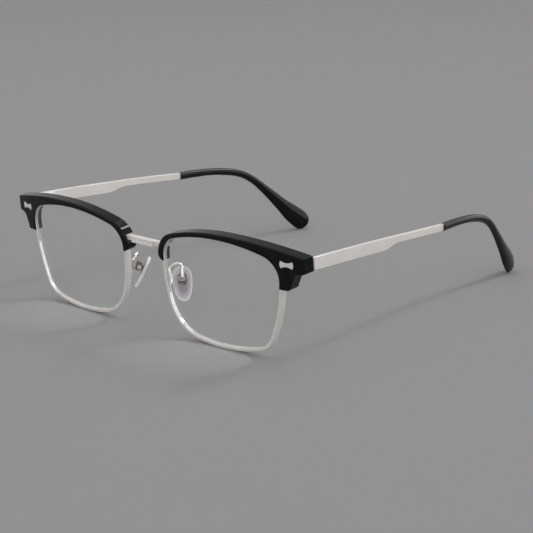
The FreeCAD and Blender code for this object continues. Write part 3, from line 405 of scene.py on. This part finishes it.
class BrowlineLook(bpy.types.PropertyGroup):
    """Colours and finishes of the glasses."""

    acetate_colour: bpy.props.FloatVectorProperty(
        name="Acetate", description="Colour of the brows and tips", subtype="COLOR", size=3,
        min=0.0, max=1.0, default=(0.0024, 0.0024, 0.0026),
    )
    acetate_gloss: bpy.props.FloatProperty(
        name="Acetate gloss", description="Strength of the reflections in the acetate",
        subtype="FACTOR", min=0.0, max=1.0, default=0.22,
    )
    acetate_edge: bpy.props.FloatProperty(
        name="Brow edge", description="Rounding that the polishing gives to the brows' edges",
        unit="LENGTH", default=0.35 * MM, precision=5,
    )
    tip_edge: bpy.props.FloatProperty(
        name="Tip edge", description="Rounding that the polishing gives to the tips' edges",
        unit="LENGTH", default=0.1 * MM, precision=5,
    )
    metal_colour: bpy.props.FloatVectorProperty(
        name="Satin metal", description="Colour of the rims, bridge and temples", subtype="COLOR", size=3,
        min=0.0, max=1.0, default=(0.89, 0.855, 0.825),
    )
    metal_edge: bpy.props.FloatProperty(
        name="Metal edge", description="Rounding of metal edges",
        unit="LENGTH", default=0.2 * MM, precision=5,
    )
    metal_roughness: bpy.props.FloatProperty(
        name="Satin roughness", description="Roughness of the satin metal before its brushing",
        subtype="FACTOR", min=0.0, max=1.0, default=0.4,
    )
    metal_share: bpy.props.FloatProperty(
        name="Satin sheen", description="How far the satin metal mirrors instead of scattering light",
        subtype="FACTOR", min=0.0, max=1.0, default=0.5,
    )
    polish_colour: bpy.props.FloatVectorProperty(
        name="Polished metal", description="Colour of the pad arms", subtype="COLOR", size=3,
        min=0.0, max=1.0, default=(0.9, 0.89, 0.88),
    )
    core_colour: bpy.props.FloatVectorProperty(
        name="Stamped metal", description="Colour of the pads' boxes and cores", subtype="COLOR", size=3,
        min=0.0, max=1.0, default=(0.4, 0.38, 0.37),
    )
    lens_colour: bpy.props.FloatVectorProperty(
        name="Lens", description="Tint of the lenses", subtype="COLOR", size=3,
        min=0.0, max=1.0, default=(0.995, 0.998, 1.0),
    )
    silicone_colour: bpy.props.FloatVectorProperty(
        name="Silicone", description="Tint of the nose pads", subtype="COLOR", size=3,
        min=0.0, max=1.0, default=(0.94, 0.91, 0.95),
    )
    # The milky edge of the nose pads is partly painted light, standing for the light that the silicone
    # carries to its edge.
    milk_and_edge_light_colour: bpy.props.FloatVectorProperty(
        name="Milk", description="Colour of the nose pads where they look milky", subtype="COLOR", size=3,
        min=0.0, max=1.0, default=(0.95, 0.94, 0.95),
    )
    edge_milk_and_light: bpy.props.FloatProperty(
        name="Edge milk", description="How milky the nose pads are along their edge",
        subtype="FACTOR", min=0.0, max=1.0, default=0.85,
    )
    slot_width: bpy.props.FloatProperty(
        name="Screw slot", description="Width of the screwdriver slots, as a share of the head's radius",
        subtype="FACTOR", min=0.1, max=0.8, default=0.36,
    )
    pad_fullness: bpy.props.FloatProperty(
        name="Pad fullness", description="Higher keeps the nose pads thick closer to their edges",
        min=1.5, max=8.0, default=5.0,
    )


class BrowlineStudio(bpy.types.PropertyGroup):
    """Floor, light and camera."""

    floor_colour: bpy.props.FloatVectorProperty(
        name="Floor", description="Colour of the plain floor", subtype="COLOR", size=3,
        min=0.0, max=1.0, default=(0.285, 0.285, 0.285),
    )
    horizon_light: bpy.props.FloatProperty(
        name="Horizon", description="Brightness of the studio near the horizon", min=0.0, default=0.45,
    )
    front_light: bpy.props.FloatProperty(
        name="Front", description="Brightness of the studio behind the camera", min=0.0, default=1.25,
    )
    side_light: bpy.props.FloatProperty(
        name="Side", description="Brightness of the studio beyond the left temple", min=0.0, default=1.7,
    )
    overhead_light: bpy.props.FloatProperty(
        name="Overhead", description="Brightness of the studio overhead", min=0.0, default=0.4,
    )
    strip_light: bpy.props.FloatProperty(
        name="Strip", description="Brightness of the strip light behind the glasses, at its upper end",
        min=0.0, default=24.0,
    )
    key_power: bpy.props.FloatProperty(
        name="Key", description="Power of the softbox overhead, in watts", min=0.0, default=4.0,
    )
    camera_azimuth: bpy.props.FloatProperty(
        name="Azimuth", description="Camera's turn round the glasses", subtype="ANGLE",
        default=math.radians(41.56),
    )
    camera_elevation: bpy.props.FloatProperty(
        name="Elevation", description="Camera's height above the horizon", subtype="ANGLE",
        default=math.radians(15.31),
    )
    camera_distance: bpy.props.FloatProperty(
        name="Distance", description="Camera to the point it looks at", unit="LENGTH", default=0.61567,
    )
    camera_lens: bpy.props.FloatProperty(
        name="Lens", description="Focal length of the camera, in millimetres", default=106.56,
    )
    camera_target: bpy.props.FloatVectorProperty(
        name="Target", description="Point that the camera looks at", subtype="TRANSLATION", size=3,
        unit="LENGTH", default=(-9.34 * MM, -0.665 * MM, 5.94 * MM),
    )


class BROWLINE_OT_acetate(bpy.types.Operator):
    """Finishes the brows in polished black acetate"""

    bl_idname = "browline.acetate"
    bl_label = "Acetate"

    def execute(self, context):
        look = context.scene.browline_look
        paint(acetate_finish(look, "polished_brow_acetate", look.acetate_edge), "brow")
        return {"FINISHED"}


class BROWLINE_OT_tips(bpy.types.Operator):
    """Makes the moulded temple tips, oval in section, along the bend behind the ear"""

    bl_idname = "browline.tips"
    bl_label = "Temple tips"

    # Each station: behind the tip's front, above the table, inward of the CAD tip's middle,
    # half of the height and half of the thickness
    stations_mm = (
        (0.0, 32.31, 0.0, 1.6, 1.33), (8.0, 32.2, 0.0, 1.55, 1.33), (16.0, 31.75, 0.0, 1.52, 1.33),
        (23.0, 30.95, 0.0, 1.5, 1.33), (29.0, 29.8, -0.2, 1.48, 1.33), (34.5, 27.9, -0.4, 1.5, 1.33),
        (39.5, 25.0, -0.4, 1.6, 1.33), (44.5, 20.9, -0.2, 1.85, 1.33), (49.5, 16.4, 0.0, 2.35, 1.36),
        (54.5, 11.75, 0.2, 3.0, 1.45), (58.5, 8.1, 0.4, 3.75, 1.6), (62.0, 5.23, 0.6, 4.1, 1.7),
    )
    steps = 6
    turns = 32
    # Power of the oval section: 2 is an ellipse, and less is leaner
    oval_power = 1.8
    # Size of the ring inside the flat front, as a share of the front
    front_share = 0.3
    # Rounded end: its length, where its rings lie along it, and how full its outline and its edge stay
    end_length_mm = 5.4
    end_shares = (0.0, 0.3, 0.55, 0.75, 0.88, 0.95, 0.985)
    outline_power = 3.0
    edge_power = 5.0
    # Bands across the CAD tip in which its middle is measured
    bands = 24
    sharp_angle = math.radians(50)

    def route(self):
        """Rows along the tip and its last point, in millimetres.

        A row has the values of a station, then the shares of its height and of its thickness.
        """
        knots = np.array(self.stations_mm)
        along = np.concatenate([[0.0], np.cumsum(np.hypot(*np.diff(knots[:, :2], axis=0).T))])
        slopes = np.gradient(knots, along, axis=0)
        rows = [(*knots[0], self.front_share, self.front_share)]
        for index in range(len(knots) - 1):
            span = along[index + 1] - along[index]
            for share in np.arange(self.steps) / self.steps:
                rise = share * share * (3 - 2 * share)
                leaving = share * (1 - share) ** 2 * span * slopes[index]
                arriving = share * share * (1 - share) * span * slopes[index + 1]
                between = knots[index] * (1 - rise) + knots[index + 1] * rise
                rows.append((*(between + leaving - arriving), 1.0, 1.0))
        heading = slopes[-1] / np.hypot(*slopes[-1][:2])
        last = knots[-1]
        for share in self.end_shares:
            place = last[:3] + heading[:3] * self.end_length_mm * share
            tall = (1 - share ** self.outline_power) ** (1 / self.outline_power)
            thick = (1 - share ** self.edge_power) ** (1 / self.edge_power)
            rows.append((*place, *last[3:], tall, thick))
        return np.array(rows), last[:3] + heading[:3] * self.end_length_mm

    def middle(self, points):
        """The plan curve of a tip's middle: X for Y, as a quadratic."""
        edges = np.linspace(points[:, 1].min(), points[:, 1].max(), self.bands)
        rows = []
        for low, high in zip(edges, edges[1:]):
            near = points[(points[:, 1] > low - MM) & (points[:, 1] < high + MM)]
            rows.append((near[:, 1].mean(), (near[:, 0].min() + near[:, 0].max()) / 2))
        return np.polyfit(*np.array(rows).T, 2)

    def oval(self):
        """Points round the section: outward and upward, as shares of its half sizes."""
        turns = [2 * math.pi * step / self.turns for step in range(self.turns)]
        power = 2 / self.oval_power
        for ways in ((math.cos(turn), math.sin(turn)) for turn in turns):
            yield tuple(math.copysign(abs(way) ** power, way) for way in ways)

    def execute(self, context):
        look = context.scene.browline_look
        material = acetate_finish(look, "polished_tip_acetate", look.tip_edge)
        rows, end = self.route()
        headings = np.gradient(rows[:, :2], axis=0)
        # The front's inner ring lies on the first station, so it has no run of its own
        headings[0] = headings[2]
        for side in SIDES:
            node = f"temple_tip_{side}"
            points = node_points(node)
            front = points[:, 1].min()
            outward = np.sign(points[:, 0].mean())
            curve = self.middle(points)
            form = bmesh.new()
            rings = []
            for (behind, above, inward, half, depth, tall, thick), heading in zip(rows, headings):
                upward = np.array((-heading[1], heading[0])) / np.hypot(*heading)
                ring = []
                for out, rise in self.oval():
                    back, z = (np.array((behind, above)) + upward * half * tall * rise) * MM
                    x = np.polyval(curve, front + back) + (depth * thick * out - outward * inward) * MM
                    ring.append(form.verts.new((x, front + back, z)))
                rings.append(ring)
            back, z, inward = end * MM
            x = np.polyval(curve, front + back) - outward * inward
            pole = form.verts.new((x, front + back, z))
            form.faces.new(rings[0])
            for step in range(self.turns):
                after = (step + 1) % self.turns
                form.faces.new((pole, rings[-1][step], rings[-1][after]))
                for near, far in zip(rings, rings[1:]):
                    form.faces.new((near[step], near[after], far[after], far[step]))
            bmesh.ops.recalc_face_normals(form, faces=form.faces)
            piece = new_piece(f"moulded_tip_{side}", form, material, node)
            smooth(piece, self.sharp_angle)
        return {"FINISHED"}


class BROWLINE_OT_metal(bpy.types.Operator):
    """Finishes the rims, bridge, temples, hinges and brow rivets in satin metal"""

    bl_idname = "browline.metal"
    bl_label = "Satin metal"

    def execute(self, context):
        look = context.scene.browline_look
        paint(satin_finish(look, "satin_rim_metal", (2.5, 2.5, 2.5)), "eyewire", "hinge_plate", "brow_rivet")
        paint(satin_finish(look, "brushed_temple_metal", (7.0, 0.12, 7.0)), "temple", "hinge_leaf")
        paint(satin_finish(look, "brushed_bridge_metal", (0.2, 6.0, 6.0)), "bridge")
        return {"FINISHED"}


class BROWLINE_OT_pad_metal(bpy.types.Operator):
    """Finishes the nose pads' arms in polished metal and their boxes and cores in stamped metal"""

    bl_idname = "browline.pad_metal"
    bl_label = "Pad metal"

    def execute(self, context):
        look = context.scene.browline_look
        paint(polished_finish(look), "pad_arm")
        paint(stamped_finish(look), "pad_box", "pad_insert")
        return {"FINISHED"}


class BROWLINE_OT_lenses(bpy.types.Operator):
    """Finishes the lenses as clear plastic that throws no shadow of its own"""

    bl_idname = "browline.lenses"
    bl_label = "Lenses"

    def execute(self, context):
        paint(lens_finish(context.scene.browline_look), "lens")
        for side in SIDES:
            frame["nodes"][f"lens_{side}"].visible_shadow = False
        return {"FINISHED"}


class BROWLINE_OT_nose_pads(bpy.types.Operator):
    """Makes the crowned silicone nose pads in the outline of their CAD nodes"""

    bl_idname = "browline.nose_pads"
    bl_label = "Nose pads"

    # Where the rings of a side lie between the pad's middle and its edge
    rings = (0.25, 0.5, 0.72, 0.86, 0.95, 0.99)
    turns = 48
    # Headings tried for the pad's thickness, over half a turn
    headings = 1800
    # Higher keeps the milky look, which is partly painted light, closer to the edge
    edge_power = 9
    # A wall of the outline that faces a heading by less than this runs along it
    along_heading = 1e-12

    def axes(self, side):
        """The pad's axes: across it, along it and through its thickness."""
        joint = next(item for item in frame["joints"] if item["name"] == f"pad_rock_{side}")
        across = Vector(joint["axis"]).normalized()
        first = across.orthogonal().normalized()
        second = across.cross(first)
        points = node_points(f"nose_pad_{side}")
        turns = [math.pi * step / self.headings for step in range(self.headings)]
        ways = [first * math.cos(turn) + second * math.sin(turn) for turn in turns]
        through = min(ways, key=lambda way: np.ptp(points @ np.array(way)))
        return across, through.cross(across), through

    def execute(self, context):
        look = context.scene.browline_look
        material = silicone_finish(look)
        for side in SIDES:
            node = f"nose_pad_{side}"
            axes = np.array(self.axes(side))
            points = node_points(node) @ axes.T
            middle = (points.min(0) + points.max(0)) / 2
            half = np.ptp(points[:, 2]) / 2
            flat = [Vector(point) for point in points[:, :2] - middle[:2]]
            hull = [flat[index] for index in convex_hull_2d(flat)]
            form = bmesh.new()
            shares = form.verts.layers.float.new(EDGE_SHARE)
            poles = [form.verts.new((0.0, 0.0, way * half)) for way in (1, -1)]
            layers = {1: [], -1: []}
            rim = []
            for step in range(self.turns):
                turn = 2 * math.pi * step / self.turns
                heading = Vector((math.cos(turn), math.sin(turn)))
                rim.append((heading, self.reach(hull, heading)))
            for share in self.rings:
                height = half * (1 - share ** look.pad_fullness) ** (1 / look.pad_fullness)
                for way in (1, -1):
                    layers[way].append([
                        form.verts.new((*(heading * reach * share), way * height)) for heading, reach in rim
                    ])
            edge = [form.verts.new((*(heading * reach), 0.0)) for heading, reach in rim]
            for way, pole in zip((1, -1), poles):
                loops = layers[way] + [edge]
                for step in range(self.turns):
                    after = (step + 1) % self.turns
                    form.faces.new((pole, loops[0][step], loops[0][after])[::way])
                    for inner, outer in zip(loops, loops[1:]):
                        form.faces.new((inner[step], outer[step], outer[after], inner[after])[::way])
            place = Matrix([[*column] for column in axes]).transposed().to_4x4()
            place.translation = Vector(middle @ axes)
            form.transform(place)
            bmesh.ops.recalc_face_normals(form, faces=form.faces)
            for share, loops in zip(self.rings + (1.0,), [*zip(*layers.values()), (edge,)]):
                for corner in sum(loops, []):
                    corner[shares] = share ** self.edge_power
            piece = new_piece(f"silicone_pad_{side}", form, material, node)
            piece.modifiers.new("rounded", "SUBSURF").render_levels = 1
            smooth(piece, math.pi)
            piece.visible_shadow = False
        return {"FINISHED"}

    def reach(self, hull, heading):
        """How far a convex outline round the origin reaches in a direction."""
        found = math.inf
        for start, end in zip(hull, hull[1:] + hull[:1]):
            run = end - start
            outward = Vector((run.y, -run.x))
            if outward.dot(start) < 0:
                outward = -outward
            facing = outward.dot(heading)
            if facing > self.along_heading:
                found = min(found, outward.dot(start) / facing)
        return found


class BROWLINE_OT_screws(bpy.types.Operator):
    """Makes the slotted screws of the brows, hinges and pad boxes where their CAD nodes are"""

    bl_idname = "browline.screws"
    bl_label = "Screws"

    turns = 40
    # Part of the screw's points, from its tail, in which the shank is measured
    tail_share = 0.2
    # Rounding of the edges and depth of the slot, as shares of the head's height
    ease_share = 0.15
    slot_depth = 0.5
    # The domed top: shares of the head's radius, and the fall there as a share of the rounding
    dome = ((1.0, 2.0), (0.85, 0.8), (0.55, 0.2), (0.0, 0.0))
    sharp_angle = math.radians(35)

    def slotted(self, node, slot_width):
        """A screw with a domed head, the cutter of its slot, and the place of the plain CAD screw."""
        points = node_points(node)
        middle = points.mean(0)
        axis = np.linalg.svd(points - middle)[2][0]
        along = (points - middle) @ axis
        radii = np.linalg.norm(points - middle - np.outer(along, axis), axis=1)
        if along[np.argmax(radii)] < 0:
            axis, along = -axis, -along
        head = radii.max()
        shank = np.median(radii[along < np.quantile(along, self.tail_share)])
        tail, top = along.min(), along.max()
        seat = along[radii > (head + shank) / 2].min()
        ease = self.ease_share * (top - seat)
        form = turned_form([
            (0.0, tail),
            (shank - ease, tail),
            (shank, tail + ease),
            (shank, seat),
            (head - ease, seat),
            (head, seat + ease),
            *((reach * head, top - fall * ease) for reach, fall in self.dome),
        ], self.turns)
        slot = bmesh.new()
        bmesh.ops.create_cube(slot, size=1.0)
        floor = top - self.slot_depth * (top - seat)
        slot_place = Matrix.Translation((0.0, 0.0, floor + head / 2))
        slot.transform(slot_place @ Matrix.Diagonal((3 * head, slot_width * head, head, 1.0)))
        turn = Vector((0.0, 0.0, 1.0)).rotation_difference(Vector(axis)).to_matrix().to_4x4()
        place = Matrix.Translation(middle) @ turn
        return form, slot, place

    def execute(self, context):
        look = context.scene.browline_look
        material = screw_finish(look)
        for kind in ("brow_screw", "hinge_screw", "pad_screw"):
            for side in SIDES:
                node = f"{kind}_{side}"
                form, slot, place = self.slotted(node, look.slot_width)
                cutter_mesh = bpy.data.meshes.new("cutter")
                slot.to_mesh(cutter_mesh)
                slot.free()
                cutter = bpy.data.objects.new("cutter", cutter_mesh)
                context.scene.collection.objects.link(cutter)
                blank_mesh = bpy.data.meshes.new("blank")
                form.to_mesh(blank_mesh)
                form.free()
                blank = bpy.data.objects.new("blank", blank_mesh)
                context.scene.collection.objects.link(blank)
                cut = blank.modifiers.new("slot", "BOOLEAN")
                cut.object = cutter
                cut.operation = "DIFFERENCE"
                graph = context.evaluated_depsgraph_get()
                made = bmesh.new()
                made.from_mesh(blank.evaluated_get(graph).data)
                made.transform(place)
                for used in (blank, cutter):
                    bpy.data.objects.remove(used)
                piece = new_piece(f"slotted_{node}", made, material, node)
                smooth(piece, self.sharp_angle)
        return {"FINISHED"}


class BROWLINE_OT_stage(bpy.types.Operator):
    """Makes the floor, the soft light and the camera"""

    bl_idname = "browline.stage"
    bl_label = "Studio"

    floor_reach = 6.0
    key_size = (1.3, 1.3)
    key_spot = (-0.1, 0.1, 1.2)
    # Headings of the room's bright side and of the two ends of the strip light
    side_heading = (0.64, 0.77, 0.0)
    strip_low = (-0.1, 0.97, 0.22)
    strip_high = (0.3, 0.59, 0.75)
    strip_width = 0.11
    # Brightness of the strip's lower end, as a share of its upper end
    strip_fade = 0.1
    clip_start, clip_end = 0.01, 50.0

    def floor(self, studio):
        """A plain floor, wide enough to fill the view."""
        mesh = bpy.data.meshes.new("floor")
        reach = self.floor_reach
        corners = [(-reach, -reach, 0.0), (reach, -reach, 0.0), (reach, reach, 0.0), (-reach, reach, 0.0)]
        mesh.from_pydata(corners, [], [(0, 1, 2, 3)])
        floor = bpy.data.objects.new("floor", mesh)
        bpy.context.scene.collection.objects.link(floor)
        material, shader = new_material("plain_floor")
        grain = shader.noise(shader.spot_mm(), 0.02, 3.0)
        pale = tuple(1.03 * share for share in studio.floor_colour)
        shader.finish("BsdfPrincipled", {
            "Base Color": shader.blend(grain, opaque(studio.floor_colour), opaque(pale)),
            "Roughness": 0.85 + 0.1 * grain,
            "Specular IOR Level": 0.1,
        })
        mesh.materials.append(material)

    def softbox(self, name, power, size, spot, target):
        """A rectangular lamp that faces a point."""
        lamp = bpy.data.lights.new(name, "AREA")
        lamp.energy = power
        lamp.shape = "RECTANGLE"
        lamp.size, lamp.size_y = size
        holder = bpy.data.objects.new(name, lamp)
        holder.location = spot
        holder.rotation_mode = "QUATERNION"
        holder.rotation_quaternion = (Vector(target) - Vector(spot)).to_track_quat("-Z", "Y")
        bpy.context.scene.collection.objects.link(holder)

    def strip(self, shader, heading):
        """1 in a strip of the sky that slants from one heading to another, and 0 outside it."""
        low, high = Vector(self.strip_low).normalized(), Vector(self.strip_high).normalized()
        width = self.strip_width
        middle = (low + high).normalized()
        across = shader.dot(heading, low.cross(high).normalized())
        along = shader.dot(heading, middle)
        end = middle.dot(low)
        inside = across.between(-0.6 * width, -0.4 * width) * (1 - across.between(0.4 * width, 0.6 * width))
        return inside * along.between(end - 0.03, end)

    def world(self, studio):
        """Even light, brighter in front and at one side, with a slanted strip light at the back."""
        world = bpy.data.worlds.new("studio")
        world.use_nodes = True
        bpy.context.scene.world = world
        shader = Shader(world.node_tree)
        heading = shader.node("TexCoord", output="Generated")
        height = shader.node("SeparateXYZ", None, {"Vector": heading}, output="Z")
        toward = (math.sin(studio.camera_azimuth / 2), -math.cos(studio.camera_azimuth / 2), 0.0)
        levels = (
            studio.horizon_light, studio.front_light, studio.side_light, studio.overhead_light,
            studio.strip_light,
        )
        low, front, side, high, strip = (opaque((level,) * 3) for level in levels)
        around = shader.blend(shader.dot(heading, toward).between(-0.3, 0.8), low, front)
        around = shader.blend(shader.dot(heading, self.side_heading).between(0.6, 0.95), around, side)
        room = shader.blend(height.between(0.2, 0.9), around, high)
        dim = opaque((self.strip_fade * studio.strip_light,) * 3)
        lit = shader.blend(height.between(0.45, 0.72), dim, strip)
        colour = shader.blend(self.strip(shader, heading), room, lit)
        shader.finish("Background", {"Color": colour}, "OutputWorld")

    def camera(self, studio):
        """The photograph's view."""
        turn, rise = studio.camera_azimuth, studio.camera_elevation
        back = Vector((math.sin(turn) * math.cos(rise), -math.cos(turn) * math.cos(rise), math.sin(rise)))
        data = bpy.data.cameras.new("camera")
        data.lens = studio.camera_lens
        data.clip_start, data.clip_end = self.clip_start, self.clip_end
        camera = bpy.data.objects.new("camera", data)
        camera.location = Vector(studio.camera_target) + back * studio.camera_distance
        camera.rotation_mode = "QUATERNION"
        camera.rotation_quaternion = (-back).to_track_quat("-Z", "Y")
        bpy.context.scene.collection.objects.link(camera)
        bpy.context.scene.camera = camera

    def execute(self, context):
        studio = context.scene.browline_studio
        middle = (CAD_BOX[0] + CAD_BOX[1]) / 2
        self.floor(studio)
        self.world(studio)
        self.softbox("overhead_softbox", studio.key_power, self.key_size, self.key_spot, middle)
        self.camera(studio)
        context.scene.view_settings.view_transform = "Standard"
        return {"FINISHED"}


class BROWLINE_PT_panel(bpy.types.Panel):
    """The operators and their settings in the sidebar"""

    bl_idname = "BROWLINE_PT_panel"
    bl_label = "Browline glasses"
    bl_space_type = "VIEW_3D"
    bl_region_type = "UI"
    bl_category = "Browline"

    def draw(self, context):
        for settings in (context.scene.browline_look, context.scene.browline_studio):
            column = self.layout.column()
            for name in settings.__annotations__:
                column.prop(settings, name)
        for operator in OPERATORS:
            self.layout.operator(operator.bl_idname)


OPERATORS = (
    BROWLINE_OT_acetate,
    BROWLINE_OT_tips,
    BROWLINE_OT_metal,
    BROWLINE_OT_pad_metal,
    BROWLINE_OT_lenses,
    BROWLINE_OT_nose_pads,
    BROWLINE_OT_screws,
    BROWLINE_OT_stage,
)
CLASSES = (BrowlineLook, BrowlineStudio, *OPERATORS, BROWLINE_PT_panel)


def register():
    """Adds the classes, and the settings to the scene."""
    for item in CLASSES:
        bpy.utils.register_class(item)
    bpy.types.Scene.browline_look = bpy.props.PointerProperty(type=BrowlineLook)
    bpy.types.Scene.browline_studio = bpy.props.PointerProperty(type=BrowlineStudio)


def unregister():
    """Takes the settings and the classes away again."""
    del bpy.types.Scene.browline_studio
    del bpy.types.Scene.browline_look
    for item in reversed(CLASSES):
        bpy.utils.unregister_class(item)


def main():
    """Dresses the glasses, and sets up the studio."""
    register()
    bpy.ops.browline.acetate()
    bpy.ops.browline.tips()
    bpy.ops.browline.metal()
    bpy.ops.browline.pad_metal()
    bpy.ops.browline.lenses()
    bpy.ops.browline.nose_pads()
    bpy.ops.browline.screws()
    bpy.ops.browline.stage()


if __name__ == "__main__":
    main()
